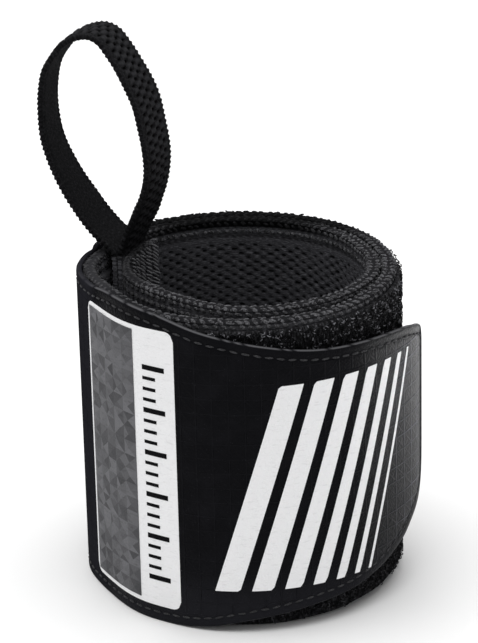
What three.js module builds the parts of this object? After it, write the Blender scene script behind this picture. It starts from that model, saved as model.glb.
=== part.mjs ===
// Elastic wrist wrap, wound into an open coil of two turns that stands on its edge.
// A webbing thumb loop stands up from the band's inner end, and a hook-and-loop tab closes the roll.
// Millimetres, Z up, the viewer's side towards -Y. Angles are in degrees round the coil's axis,
// counted on from turn to turn along the winding: 270, 630 and 990 are the front, 360 and 720 the right.

import * as THREE from 'three';

// Band

const bandWidth = 76;
const bandThickness = 3.1;
const bandEdgeRound = 0.7;
const layerGap = 0.4;
const coilInnerRadius = 30;
const innerEndAngle = 137;
const outerEndAngle = 862;
const stationStep = 5;

// Closure

const seamGap = 0.3;
const pileThickness = 1.2;
const pileStartAngle = 600;
const pileEndAngle = 825;
const pileBottomMargin = 0.3;
const pileTopMargin = 1.3;
const hookThickness = 0.7;
const hookStartAngle = 984;
const hookInset = 1.6;
const tabThickness = 1.4;
const tabSeamLength = 21;
const tabEndAngle = 1074.6;
const tabEndLift = 1.9;
const tabTopCorner = 5;
const tabBottomCorner = 16;
const cornerSteps = 8;

// Thumb loop

const webWidth = 12.7;
const webThickness = 1.2;
const loopAngle = 155;
const loopHeight = 54;
const loopSpread = 28.6;
const loopSewnDepth = 16;
const loopSections = 84;

// Shape of the coil: how far it leaves a true spiral, as a share of its inner radius

const coilShape = [
  { at: 137, bulge: -0.077 },
  { at: 160, bulge: -0.088 },
  { at: 180, bulge: -0.097 },
  { at: 200, bulge: -0.14 },
  { at: 220, bulge: -0.17 },
  { at: 240, bulge: -0.15 },
  { at: 255, bulge: -0.09 },
  { at: 270, bulge: -0.023 },
  { at: 290, bulge: 0.003 },
  { at: 340, bulge: 0.017 },
  { at: 360, bulge: 0 },
  { at: 380, bulge: -0.023 },
  { at: 400, bulge: -0.01 },
  { at: 500, bulge: -0.01 },
  { at: 520, bulge: 0.007 },
  { at: 540, bulge: 0.04 },
  { at: 562, bulge: -0.003 },
  { at: 580, bulge: -0.006 },
  { at: 630, bulge: 0.003 },
  { at: 700, bulge: 0.02 },
  { at: 720, bulge: 0 },
  { at: 740, bulge: -0.017 },
  { at: 760, bulge: -0.01 },
  { at: 862, bulge: -0.01 },
];

// The band's own edges: its top as a share of the width, and its wall where the end is sewn flat

const bandEdges = [
  { at: 137, top: 1, wall: 0.45 },
  { at: 178, top: 1, wall: 0.45 },
  { at: 200, top: 1, wall: 1 },
  { at: 562, top: 1, wall: 1 },
  { at: 600, top: 0.981, wall: 1 },
  { at: 660, top: 0.981, wall: 1 },
  { at: 718, top: 1, wall: 1 },
];

// What the tab lies over: shares of the band's own end, of the pile and of the hook beneath it,
// and of the lift at its free end

const tabSeat = [
  { at: 867, end: 1, pile: 0, hook: 0, lift: 0 },
  { at: 881, end: 0.12, pile: 0, hook: 0, lift: 0 },
  { at: 895, end: 0, pile: 0, hook: 0, lift: 0 },
  { at: 928, end: 0, pile: 0, hook: 0, lift: 0 },
  { at: 957, end: 0, pile: 1, hook: 0, lift: 0 },
  { at: 982, end: 0, pile: 1, hook: 1, lift: 0 },
  { at: 1035, end: 0, pile: 1, hook: 1, lift: 0 },
  { at: 1082, end: 0, pile: 1, hook: 1, lift: 1 },
];

// The tab's lower and upper edges before its corners are rounded, as shares of the band's width

const tabOutline = [
  { at: 830, bottom: 0, top: 0.982 },
  { at: 868, bottom: 0, top: 0.985 },
  { at: 890, bottom: 0, top: 1 },
  { at: 918, bottom: 0, top: 1 },
  { at: 938, bottom: 0, top: 1.015 },
  { at: 960, bottom: 0, top: 1 },
  { at: 977, bottom: 0.006, top: 0.963 },
  { at: 997, bottom: 0.034, top: 0.922 },
  { at: 1015, bottom: 0.068, top: 0.893 },
  { at: 1035, bottom: 0.102, top: 0.879 },
  { at: 1048, bottom: 0.12, top: 0.87 },
  { at: 1058, bottom: 0.138, top: 0.857 },
  { at: 1065, bottom: 0.141, top: 0.838 },
  { at: 1075, bottom: 0.141, top: 0.815 },
];

// The thumb loop's middle line from its outer end round to its inner end: how far in towards the
// coil's axis, as a share of the spread, and how high above the band, as a share of the height

const loopLine = [
  { inward: -0.06, up: 0.004, turn: 0 },
  { inward: -0.115, up: 0.033, turn: 0 },
  { inward: -0.213, up: 0.074, turn: 0 },
  { inward: -0.315, up: 0.13, turn: 0 },
  { inward: -0.41, up: 0.193, turn: 1 },
  { inward: -0.5, up: 0.259, turn: 3 },
  { inward: -0.595, up: 0.343, turn: 6 },
  { inward: -0.66, up: 0.419, turn: 8 },
  { inward: -0.705, up: 0.5, turn: 9 },
  { inward: -0.72, up: 0.611, turn: 10 },
  { inward: -0.71, up: 0.7, turn: 10 },
  { inward: -0.665, up: 0.796, turn: 9 },
  { inward: -0.575, up: 0.87, turn: 8 },
  { inward: -0.49, up: 0.92, turn: 7 },
  { inward: -0.37, up: 0.957, turn: 6 },
  { inward: -0.241, up: 0.97, turn: 5 },
  { inward: -0.14, up: 0.952, turn: 4 },
  { inward: -0.045, up: 0.895, turn: 3 },
  { inward: 0.05, up: 0.82, turn: 2 },
  { inward: 0.133, up: 0.742, turn: 0 },
  { inward: 0.189, up: 0.67, turn: 0 },
  { inward: 0.228, up: 0.574, turn: 0 },
  { inward: 0.256, up: 0.491, turn: 0 },
  { inward: 0.266, up: 0.422, turn: 0 },
  { inward: 0.252, up: 0.343, turn: 0 },
  { inward: 0.218, up: 0.274, turn: -1 },
  { inward: 0.174, up: 0.22, turn: -3 },
  { inward: 0.13, up: 0.161, turn: -4 },
  { inward: 0.073, up: 0.102, turn: -3 },
  { inward: 0.028, up: 0.05, turn: -1 },
  { inward: 0, up: 0.008, turn: 0 },
];

// Colours and finishes

const elasticFinish = new THREE.MeshStandardMaterial({ color: 0x1f1f22, roughness: 0.95, metalness: 0 });
const pileFinish = new THREE.MeshStandardMaterial({ color: 0x18181a, roughness: 1, metalness: 0 });
const tabFinish = new THREE.MeshStandardMaterial({ color: 0x222224, roughness: 0.55, metalness: 0 });
const hookFinish = new THREE.MeshStandardMaterial({ color: 0x141415, roughness: 0.7, metalness: 0 });
const webFinish = new THREE.MeshStandardMaterial({ color: 0x1a1a1c, roughness: 0.9, metalness: 0 });

const pitch = bandThickness + layerGap;
const tabStartAngle = outerEndAngle - degreesOfArc(tabSeamLength, outerEndAngle);

function degreesOfArc(length, angle) {
  return THREE.MathUtils.radToDeg(length / bandOuter(angle));
}

// A table's column between its rows, with a level stretch at each row

function easedColumn(rows, column, at) {
  const next = rows.findIndex((row) => row.at > at);
  if (next === 0) return rows[0][column];
  if (next === -1) return rows[rows.length - 1][column];
  const low = rows[next - 1];
  const high = rows[next];
  const share = THREE.MathUtils.smoothstep(at, low.at, high.at);
  return THREE.MathUtils.lerp(low[column], high[column], share);
}

// The slope of a table's column at one of its rows, from the rows on both sides. It is level at a
// peak, a dip and the end of a level stretch, so that the curve never passes beyond its rows there

function columnSlope(rows, column, index) {
  const low = rows[Math.max(index - 1, 0)];
  const here = rows[index];
  const high = rows[Math.min(index + 1, rows.length - 1)];
  const turnsBack = (here[column] - low[column]) * (high[column] - here[column]) <= 0;
  return turnsBack ? 0 : (high[column] - low[column]) / (high.at - low.at);
}

// A table's column between its rows, as one smooth curve through them

function smoothColumn(rows, column, at) {
  const next = rows.findIndex((row) => row.at > at);
  if (next === 0) return rows[0][column];
  if (next === -1) return rows[rows.length - 1][column];
  const low = rows[next - 1];
  const high = rows[next];
  const span = high.at - low.at;
  const t = (at - low.at) / span;
  const fromLow = (2 * t ** 3 - 3 * t ** 2 + 1) * low[column];
  const toHigh = (3 * t ** 2 - 2 * t ** 3) * high[column];
  const lowSlope = (t ** 3 - 2 * t ** 2 + t) * span * columnSlope(rows, column, next - 1);
  const highSlope = (t ** 3 - t ** 2) * span * columnSlope(rows, column, next);
  return fromLow + toHigh + lowSlope + highSlope;
}

// Radii of the winding

function bandInner(angle) {
  const spiral = coilInnerRadius + (pitch * (angle - 360)) / 360;
  return spiral + coilInnerRadius * smoothColumn(coilShape, 'bulge', angle);
}

function bandOuter(angle) {
  return bandInner(angle) + bandThickness * easedColumn(bandEdges, 'wall', angle);
}

function bandTop(angle) {
  return bandWidth * easedColumn(bandEdges, 'top', angle);
}

function tabInner(angle) {
  const overEnd = pitch * easedColumn(tabSeat, 'end', angle);
  const overPile = (pileThickness + seamGap) * easedColumn(tabSeat, 'pile', angle);
  const overHook = (hookThickness + seamGap) * easedColumn(tabSeat, 'hook', angle);
  const lift = tabEndLift * easedColumn(tabSeat, 'lift', angle);
  return bandOuter(angle - 360) + seamGap + overEnd + overPile + overHook + lift;
}

// Angles from one end of a strip to the other, closer together over a rounded end

function stations(from, to, endLength = 0) {
  const endSpan = THREE.MathUtils.radToDeg(endLength / tabInner(to));
  const plainSpan = to - endSpan - from;
  const plainSteps = Math.ceil(plainSpan / stationStep);
  const angles = [];
  for (let i = 0; i <= plainSteps; i++) angles.push(from + (plainSpan * i) / plainSteps);
  if (endLength === 0) return angles;
  for (let i = 1; i <= cornerSteps; i++) {
    const bend = ((Math.PI / 2) * i) / cornerSteps;
    angles.push(to - endSpan * (1 - Math.sin(bend)));
  }
  return angles;
}

// How far a rounded corner has cut into an edge, at a distance from the strip's end

function cornerCut(distance, radius) {
  if (distance >= radius) return 0;
  return radius - Math.sqrt(radius ** 2 - (radius - distance) ** 2);
}

// One closed body from rings of points that all have the same count and run the same way round

function loftedBody(rings) {
  const count = rings[0].length;
  const positions = rings.flat().flatMap((point) => [point.x, point.y, point.z]);
  const faces = [];
  for (let ring = 0; ring < rings.length - 1; ring++) {
    for (let i = 0; i < count; i++) {
      const near = ring * count + i;
      const nearNext = ring * count + ((i + 1) % count);
      faces.push(near, near + count, nearNext);
      faces.push(near + count, nearNext + count, nearNext);
    }
  }
  const last = (rings.length - 1) * count;
  for (let i = 1; i < count - 1; i++) {
    faces.push(0, i, i + 1);
    faces.push(last, last + i + 1, last + i);
  }
  const geometry = new THREE.BufferGeometry();
  geometry.setAttribute('position', new THREE.Float32BufferAttribute(positions, 3));
  geometry.setIndex(faces);
  geometry.computeVertexNormals();
  return geometry;
}

// A wall that follows the winding, with a section of radii and heights at each angle

function woundWall(angles, sectionAt) {
  const rings = angles.map((angle) => {
    const turn = THREE.MathUtils.degToRad(angle);
    return sectionAt(angle).map(
      ([radius, height]) => new THREE.Vector3(radius * Math.cos(turn), radius * Math.sin(turn), height),
    );
  });
  return loftedBody(rings);
}

function plainSection(inner, outer, bottom, top) {
  return [[inner, bottom], [outer, bottom], [outer, top], [inner, top]];
}

function makeElasticBand() {
  const sectionAt = (angle) => {
    const inner = bandInner(angle);
    const outer = bandOuter(angle);
    const top = bandTop(angle);
    const round = Math.min(bandEdgeRound, (outer - inner) / 4);
    return [
      [inner + round, 0], [outer - round, 0],
      [outer, round], [outer, top - round],
      [outer - round, top], [inner + round, top],
      [inner, top - round], [inner, round],
    ];
  };
  return woundWall(stations(innerEndAngle, outerEndAngle), sectionAt);
}

function makePilePanel() {
  const sectionAt = (angle) => {
    const inner = bandOuter(angle) + seamGap;
    return plainSection(inner, inner + pileThickness, pileBottomMargin, bandTop(angle) - pileTopMargin);
  };
  return woundWall(stations(pileStartAngle, pileEndAngle), sectionAt);
}

// The tab's lower and upper edges, with its two free corners rounded

function tabEdges(angle) {
  const distance = THREE.MathUtils.degToRad(tabEndAngle - angle) * tabInner(tabEndAngle);
  return {
    bottom: bandWidth * smoothColumn(tabOutline, 'bottom', angle) + cornerCut(distance, tabBottomCorner),
    top: bandWidth * smoothColumn(tabOutline, 'top', angle) - cornerCut(distance, tabTopCorner),
  };
}

function makeClosureTab() {
  const sectionAt = (angle) => {
    const inner = tabInner(angle);
    const edges = tabEdges(angle);
    return plainSection(inner, inner + tabThickness, edges.bottom, edges.top);
  };
  return woundWall(stations(tabStartAngle, tabEndAngle, tabBottomCorner), sectionAt);
}

function makeHookPanel() {
  const endAngle = tabEndAngle - THREE.MathUtils.radToDeg(hookInset / tabInner(tabEndAngle));
  const sectionAt = (angle) => {
    const outer = tabInner(angle) - seamGap;
    const edges = tabEdges(angle);
    return plainSection(outer - hookThickness, outer, edges.bottom + hookInset, edges.top - hookInset);
  };
  return woundWall(stations(hookStartAngle, endAngle, tabBottomCorner), sectionAt);
}

// The thumb loop stands in the upright plane through the coil's axis at loopAngle. Both its ends go
// down between the band's inner end and the next turn, one behind the other

function makeThumbLoop() {
  const turn = THREE.MathUtils.degToRad(loopAngle);
  const outward = new THREE.Vector3(Math.cos(turn), Math.sin(turn), 0);
  const alongBand = new THREE.Vector3(-Math.sin(turn), Math.cos(turn), 0);
  const upright = new THREE.Vector3(0, 0, 1);
  const seat = bandOuter(loopAngle) + seamGap + webThickness / 2;
  const behind = webThickness + seamGap;
  const placed = (inward, height) =>
    outward.clone().multiplyScalar(seat - inward).setZ(bandWidth + height);

  const points = loopLine.map((row) => placed(row.inward * loopSpread, row.up * loopHeight));
  points.unshift(placed(-behind, -loopSewnDepth), placed(-behind, -webThickness));
  points.push(placed(0, -webThickness), placed(0, -loopSewnDepth));
  const turns = [0, 0, ...loopLine.map((row) => row.turn), 0, 0];
  const widths = turns.map((degrees) =>
    alongBand.clone().applyAxisAngle(upright, THREE.MathUtils.degToRad(degrees)),
  );

  const line = new THREE.CatmullRomCurve3(points, false, 'centripetal');
  const widthLine = new THREE.CatmullRomCurve3(widths, false, 'centripetal');
  const rings = [];
  for (let i = 0; i <= loopSections; i++) {
    const share = line.getUtoTmapping(i / loopSections);
    const centre = line.getPoint(share);
    const tangent = line.getTangent(share);
    const across = widthLine.getPoint(share);
    across.addScaledVector(tangent, -across.dot(tangent)).setLength(webWidth / 2);
    const through = tangent.clone().cross(across).setLength(webThickness / 2);
    rings.push([
      centre.clone().sub(across).sub(through),
      centre.clone().sub(across).add(through),
      centre.clone().add(across).add(through),
      centre.clone().add(across).sub(through),
    ]);
  }
  return loftedBody(rings);
}

function namedMesh(name, geometry, material) {
  const mesh = new THREE.Mesh(geometry, material);
  mesh.name = name;
  return mesh;
}

const coil = new THREE.Group();
coil.add(namedMesh('elastic_band', makeElasticBand(), elasticFinish));
coil.add(namedMesh('pile_panel', makePilePanel(), pileFinish));
coil.add(namedMesh('closure_tab', makeClosureTab(), tabFinish));
coil.add(namedMesh('hook_panel', makeHookPanel(), hookFinish));
coil.add(namedMesh('thumb_loop', makeThumbLoop(), webFinish));

// The part's origin is the middle of its footprint's box, on the surface that it stands on

const box = new THREE.Box3().setFromObject(coil);
const middle = box.getCenter(new THREE.Vector3());
coil.position.set(-middle.x, -middle.y, -box.min.z);

const wristWrap = new THREE.Group();
wristWrap.add(coil);

export default wristWrap;
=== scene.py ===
"""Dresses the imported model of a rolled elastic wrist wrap: its knit, rims, pile, printed tab and loop.

Every strip is modelled flat, with X along it, Z up and its outer face towards -Y, and is then wound
round the coil.
"""

import bisect
import math
import random
from contextlib import contextmanager

import bpy
from bpy.props import FloatProperty, FloatVectorProperty, IntProperty, PointerProperty
from bpy.types import Operator, Panel, PropertyGroup
from mathutils import Matrix, Vector, kdtree


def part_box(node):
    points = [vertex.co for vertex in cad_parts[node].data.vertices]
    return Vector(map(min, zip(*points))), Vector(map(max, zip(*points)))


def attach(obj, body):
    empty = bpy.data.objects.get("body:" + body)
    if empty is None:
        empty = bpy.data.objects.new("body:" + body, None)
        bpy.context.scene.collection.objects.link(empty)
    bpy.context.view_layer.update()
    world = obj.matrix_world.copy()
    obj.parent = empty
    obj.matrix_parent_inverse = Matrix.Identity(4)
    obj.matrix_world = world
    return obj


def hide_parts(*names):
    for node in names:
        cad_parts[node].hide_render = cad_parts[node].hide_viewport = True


bl_info = {
    "name": "Wrist Wrap",
    "version": (1, 0, 0),
    "blender": (4, 5, 0),
    "location": "View3D > Sidebar > Wrist Wrap",
    "description": "Models the cloth, print and stitches of a rolled elastic wrist wrap",
    "category": "Object",
}

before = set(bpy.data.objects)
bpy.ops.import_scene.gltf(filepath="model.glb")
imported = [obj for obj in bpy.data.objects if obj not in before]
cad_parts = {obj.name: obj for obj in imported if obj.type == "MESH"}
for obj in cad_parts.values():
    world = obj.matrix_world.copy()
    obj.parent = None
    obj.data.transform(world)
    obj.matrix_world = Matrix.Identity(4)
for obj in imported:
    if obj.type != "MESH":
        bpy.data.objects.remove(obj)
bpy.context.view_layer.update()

MM = 0.001

# What the frame fixes, in metres and degrees

BAND_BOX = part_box("elastic_band")
BAND_WIDTH = BAND_BOX[1].z
BAND_THICKNESS = 3.1 * MM
LAYER_GAP = 0.4 * MM
SEAM_GAP = 0.3 * MM
COIL_RADIUS = 30 * MM
PITCH = BAND_THICKNESS + LAYER_GAP
BAND_START, BAND_END = 137, 862
PILE_START, PILE_END = 600, 825
PILE_THICKNESS = 1.2 * MM
PILE_BOTTOM, PILE_TOP = 0.3 * MM, 1.9 * MM
HOOK_START = 984
HOOK_THICKNESS = 0.7 * MM
HOOK_INSET = 1.6 * MM
TAB_END = 1074.6
TAB_SEAM = 21 * MM
TAB_THICKNESS = 1.4 * MM
TAB_LIFT = 1.9 * MM
TAB_TOP_CORNER, TAB_BOTTOM_CORNER = 5 * MM, 16 * MM
WEB_WIDTH, WEB_THICKNESS = 12.7 * MM, 1.2 * MM
LOOP_ANGLE = 155
LOOP_HEIGHT, LOOP_SPREAD, LOOP_SEWN = 54 * MM, 28.6 * MM, 16 * MM

LINE_STEP = 1
MERGE = 0.005 * MM
SMOOTH_UNDER = 50

# How far the coil leaves a true spiral, as a share of its radius: angle, bulge

COIL_SHAPE = [
    (137, -0.077), (160, -0.088), (180, -0.097), (200, -0.14), (220, -0.17), (240, -0.15),
    (255, -0.09), (270, -0.023), (290, 0.003), (340, 0.017), (360, 0), (380, -0.023),
    (400, -0.01), (500, -0.01), (520, 0.007), (540, 0.04), (562, -0.003), (580, -0.006),
    (630, 0.003), (700, 0.02), (720, 0), (740, -0.017), (760, -0.01), (862, -0.01),
]

# The band's edges and its wall, as shares of its width and thickness

BAND_TOP = [(562, 1), (600, 0.981), (660, 0.981), (718, 1)]
BAND_BOTTOM = [(640, 0), (662, 0.006), (679, 0.016), (705, 0.031), (730, 0.031), (790, 0)]
BAND_WALL = [(178, 0.45), (200, 1)]

# What the tab lies over, as shares of the band's end, the pile, the hook and the lift of its free end

TAB_OVER_END = [(867, 1), (881, 0.12), (895, 0)]
TAB_OVER_PILE = [(928, 0), (957, 1)]
TAB_OVER_HOOK = [(957, 0), (982, 1)]
TAB_RISE = [(1035, 0), (1082, 1)]

# The tab's edges before its corners are rounded, as shares of the band's width

TAB_BOTTOM = [
    (830, 0), (960, 0), (977, 0.012), (990, 0.036), (1003, 0.055), (1015, 0.072),
    (1028, 0.089), (1035, 0.105), (1040, 0.118), (1046, 0.14), (1054, 0.174), (1060, 0.2),
    (1066, 0.206), (1075, 0.206),
]
TAB_TOP = [
    (830, 0.982), (868, 0.985), (890, 1), (918, 1), (938, 1.015), (960, 1), (977, 0.963),
    (997, 0.922), (1015, 0.893), (1035, 0.879), (1048, 0.87), (1058, 0.857), (1065, 0.838),
    (1075, 0.815),
]

# The thumb loop's middle line: share of the spread inwards, share of the height up, turn in degrees

LOOP_LINE = [
    (-0.06, 0.004, 0), (-0.115, 0.033, 0), (-0.213, 0.074, 0), (-0.315, 0.13, 0),
    (-0.41, 0.193, 1), (-0.5, 0.259, 3), (-0.595, 0.343, 6), (-0.66, 0.419, 8),
    (-0.705, 0.5, 9), (-0.72, 0.611, 10), (-0.71, 0.7, 10), (-0.665, 0.796, 9),
    (-0.575, 0.87, 8), (-0.49, 0.92, 7), (-0.37, 0.957, 6), (-0.241, 0.97, 5),
    (-0.14, 0.952, 4), (-0.045, 0.895, 3), (0.05, 0.82, 2), (0.133, 0.742, 0),
    (0.189, 0.67, 0), (0.228, 0.574, 0), (0.256, 0.491, 0), (0.266, 0.422, 0),
    (0.252, 0.343, 0), (0.218, 0.274, -1), (0.174, 0.22, -3), (0.13, 0.161, -4),
    (0.073, 0.102, -3), (0.028, 0.05, -1), (0, 0.008, 0),
]

# The tab's shine, which also sets painted highlights and a painted reflection, and the painted highlight
# along its edge, as shares at distances from its free end

TAB_GLOSS = [(3 * MM, 0), (7 * MM, 1), (18 * MM, 1), (36 * MM, 0.3), (90 * MM, 0.3), (106 * MM, 0)]
TAB_EDGE_HIGHLIGHT = [(105 * MM, 1), (122 * MM, 0.35)]

# The print: where it lies along the tab, in degrees, and up it

LABEL_START, LABEL_SPLIT, LABEL_END = 919.5, 951, 967.75
LABEL_BOTTOM, LABEL_TOP = 3.9 * MM, 72.5 * MM
LABEL_CORNER, LABEL_FRAME = 2.2 * MM, 1.1 * MM
BARS_START, BARS_END = 980, 1057
BARS_BOTTOM, BARS_TOP = 10.5 * MM, 60.5 * MM
BARS_LEAN, BARS_GAP = 15 * MM, 2.6 * MM

# The camera, fitted to the photograph's outline. Its focal length is in pixels of the picture

CAMERA_ELEVATION, CAMERA_ROLL = 20.99, -1.358
CAMERA_DISTANCE = 704.1 * MM
CAMERA_AIM = Vector((-0.09 * MM, 0, 61.17 * MM))
SENSOR, FOCAL_LENGTH, PICTURE_HEIGHT = 36, 3000, 643


def clamped(value):
    """A value kept from nought to one."""
    return min(max(value, 0), 1)


def bell(offset, width):
    """One at no offset, falling away within a width."""
    return math.exp(-((offset / width) ** 2))


def curve_between(start, end, out, into, t):
    """A value on a smooth curve from start to end, with the slopes at which it leaves and arrives."""
    value = start * (2 * t**3 - 3 * t**2 + 1) + end * (3 * t**2 - 2 * t**3)
    return value + out * (t**3 - 2 * t**2 + t) + into * (t**3 - t**2)


def slope(rows, index):
    """The slope of a table at one of its rows, level at a peak or a dip."""
    low, here, high = rows[max(index - 1, 0)], rows[index], rows[min(index + 1, len(rows) - 1)]
    if (here[1] - low[1]) * (high[1] - here[1]) <= 0:
        return 0
    return (high[1] - low[1]) / (high[0] - low[0])


def smooth(rows, at, level=False):
    """A table's value, on one smooth curve through its rows."""
    after = bisect.bisect_right([row[0] for row in rows], at)
    if after in (0, len(rows)):
        return rows[min(after, len(rows) - 1)][1]
    (low_at, low), (high_at, high) = rows[after - 1], rows[after]
    span = high_at - low_at
    out, into = (0 if level else span * slope(rows, index) for index in (after - 1, after))
    return curve_between(low, high, out, into, (at - low_at) / span)


def eased(rows, at):
    """A table's value, on a curve that is level at each of its rows."""
    return smooth(rows, at, level=True)


def read_between(keys, values, key):
    """The value that belongs to a key, read between the two nearest."""
    after = min(max(bisect.bisect_right(keys, key), 1), len(keys) - 1)
    share = (key - keys[after - 1]) / (keys[after] - keys[after - 1])
    return values[after - 1] + (values[after] - values[after - 1]) * clamped(share)


def lengths_along(points):
    """The length along a line of points, at each of them."""
    lengths = [0.0]
    for near, far in zip(points, points[1:]):
        lengths.append(lengths[-1] + (far - near).length)
    return lengths


def band_inner(angle):
    """The radius of the band's inner face."""
    return COIL_RADIUS + PITCH * (angle - 360) / 360 + COIL_RADIUS * smooth(COIL_SHAPE, angle)


def band_outer(angle):
    """The radius of the band's outer face."""
    return band_inner(angle) + BAND_THICKNESS * eased(BAND_WALL, angle)


def pile_inner(angle):
    """The radius that the pile's backing lies on."""
    return band_outer(angle) + SEAM_GAP / 3


def tab_inner(angle):
    """The radius of the tab's inner face."""
    radius = band_outer(angle - 360) + SEAM_GAP + PITCH * eased(TAB_OVER_END, angle)
    radius += (PILE_THICKNESS + SEAM_GAP) * eased(TAB_OVER_PILE, angle)
    radius += (HOOK_THICKNESS + SEAM_GAP) * eased(TAB_OVER_HOOK, angle)
    return radius + TAB_LIFT * eased(TAB_RISE, angle)


def band_top(angle):
    """The height of the band's upper edge."""
    return BAND_WIDTH * eased(BAND_TOP, angle)


def band_bottom(angle):
    """The height of the band's lower edge."""
    return BAND_WIDTH * eased(BAND_BOTTOM, angle)


def corner_cut(distance, radius):
    """How far a rounded corner has cut into an edge, at a distance from the strip's end."""
    if distance >= radius:
        return 0
    return radius - math.sqrt(max(radius**2 - (radius - distance) ** 2, 0))


def polar(radius, angle):
    """A point at a radius and an angle round the coil's axis."""
    turn = math.radians(angle)
    return Vector((radius * math.cos(turn), radius * math.sin(turn), 0))


def coil_axis():
    """Where the coil's axis stands in the frame, from the band's box and its own radii."""
    rim = [polar(band_outer(angle), angle) for angle in range(BAND_START, BAND_END + 1, 5)]
    low = BAND_BOX[0]
    return Vector((low.x - min(point.x for point in rim), low.y - min(point.y for point in rim), 0))


AXIS = coil_axis()


class CoilLine:
    """A strip's path round the coil, with the length along it at each angle."""

    def __init__(self, radius, start, end):
        count = math.ceil((end - start) / LINE_STEP)
        self.angles = [start + (end - start) * step / count for step in range(count + 1)]
        self.points = [AXIS + polar(radius(angle), angle) for angle in self.angles]
        self.lengths = lengths_along(self.points)
        self.length = self.lengths[-1]

    def angle_at(self, length_along):
        """The angle at a length along the strip."""
        return read_between(self.lengths, self.angles, length_along)

    def length_at(self, angle):
        """The length along the strip at an angle."""
        return read_between(self.angles, self.lengths, angle)


TAB_START = BAND_END - math.degrees(TAB_SEAM / band_outer(BAND_END))
HOOK_END = TAB_END - math.degrees(HOOK_INSET / tab_inner(TAB_END))
BAND_LINE = CoilLine(band_inner, BAND_START, BAND_END)
PILE_LINE = CoilLine(pile_inner, PILE_START, PILE_END)
TAB_LINE = CoilLine(tab_inner, TAB_START, TAB_END)
HOOK_LINE = CoilLine(lambda angle: tab_inner(angle) - SEAM_GAP / 3, HOOK_START, HOOK_END)


def length(label, description, default, low=0.0):
    """A length property, from millimetres."""
    return FloatProperty(
        name=label, description=description, default=default * MM, min=low * MM,
        subtype="DISTANCE", unit="LENGTH",
    )


class WrapSizes(PropertyGroup):
    """Sizes of the wrap's finish."""

    knit_pitch: length("Knit Pitch", "Distance between the knit's pores along a row", 3.5, 1.5)
    knit_row: length("Knit Row", "Height of one row of the knit", 1.1, 0.6)
    pore_depth: length("Pore Depth", "How far the knit's pores sink into its face", 0.7)
    selvedge: length("Selvedge", "Width of the plain ribbed stretch below the band's rims", 5.9)
    chain_pitch: length("Chain Pitch", "Distance between the chevrons on the band's rims", 1.85, 1)
    pile_spacing: length("Pile Spacing", "Distance between the pile's loops", 0.85, 0.7)
    pile_margin: length("Pile Margin", "Bare edge of the pile's backing", 0.4)
    hook_spacing: length("Hook Spacing", "Distance between the closure's hooks", 1.7, 1)
    stitch_inset: length("Stitch Inset", "Distance of the tab's seam from its edge", 2.2, 1)
    stitch_pitch: length("Stitch Pitch", "Distance from one stitch of the tab to the next", 2.6, 1.5)
    rib_pitch: length("Rib Pitch", "Distance between the webbing's bumps", 2.3, 0.6)
    facet_pitch: length("Facet Pitch", "Width of the embossed squares", 3.6, 1)
    bar_count: IntProperty(
        name="Bars", description="Number of slanted bars printed on the tab", default=7, min=1,
    )


def colour(label, description, default):
    """A colour property."""
    return FloatVectorProperty(
        name=label, description=description, default=default, size=3, min=0, max=1, subtype="COLOR",
    )


class WrapColours(PropertyGroup):
    """Colours of the wrap's finish, in linear light."""

    elastic: colour("Elastic", "Yarn of the band", (0.05, 0.05, 0.055))
    chain: colour("Chain", "Yarn along the band's rims", (0.08, 0.08, 0.085))
    pile: colour("Pile", "Loops of the closure", (0.009, 0.009, 0.0098))
    tab: colour("Tab", "Face of the tab", (0.0046, 0.0046, 0.0056))
    thread: colour("Thread", "Sewing thread", (0.026, 0.026, 0.0275))
    white: colour("White", "White print", (0.88, 0.88, 0.89))
    grey: colour("Grey", "Grey print", (0.068, 0.068, 0.072))
    webbing: colour("Webbing", "Yarn of the thumb loop", (0.0075, 0.0075, 0.0082))
    hook: colour("Hook", "Plastic hooks", (0.006, 0.006, 0.0065))
    floor: colour("Floor", "Stage", (0.83, 0.83, 0.83))


def sizes():
    """The sizes set on the scene."""
    return bpy.context.scene.wrist_wrap_sizes


def colours():
    """The colours set on the scene."""
    return bpy.context.scene.wrist_wrap_colours


# Modelling helpers


def deselect():
    """Leaves nothing selected."""
    bpy.ops.object.select_all(action="DESELECT")


def activate(piece):
    """Makes a piece the only one selected."""
    deselect()
    piece.select_set(True)
    bpy.context.view_layer.objects.active = piece


@contextmanager
def editing(piece):
    """Edit mode on one piece, with all of it selected."""
    activate(piece)
    bpy.ops.object.mode_set(mode="EDIT")
    bpy.ops.mesh.select_all(action="SELECT")
    yield
    bpy.ops.object.mode_set(mode="OBJECT")


def new_piece(name):
    """Names the primitive that was just added."""
    piece = bpy.context.object
    piece.name = name
    piece.data.name = name
    return piece


def placed(name, data):
    """A new object of the scene, for a mesh, a line, a lamp or a camera."""
    made = bpy.data.objects.new(name, data)
    bpy.context.scene.collection.objects.link(made)
    return made


def steps(start, end, spacing):
    """Even steps from start to end, close to a spacing apart."""
    count = max(round((end - start) / spacing), 1)
    return [start + (end - start) * index / count for index in range(count + 1)]


def spaced(points, spacing):
    """Points along a line of points, evenly spaced."""
    lengths = lengths_along(points)
    axes = list(zip(*points))
    return [
        Vector([read_between(lengths, axis, at) for axis in axes])
        for at in steps(0, lengths[-1], spacing)
    ]


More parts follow.
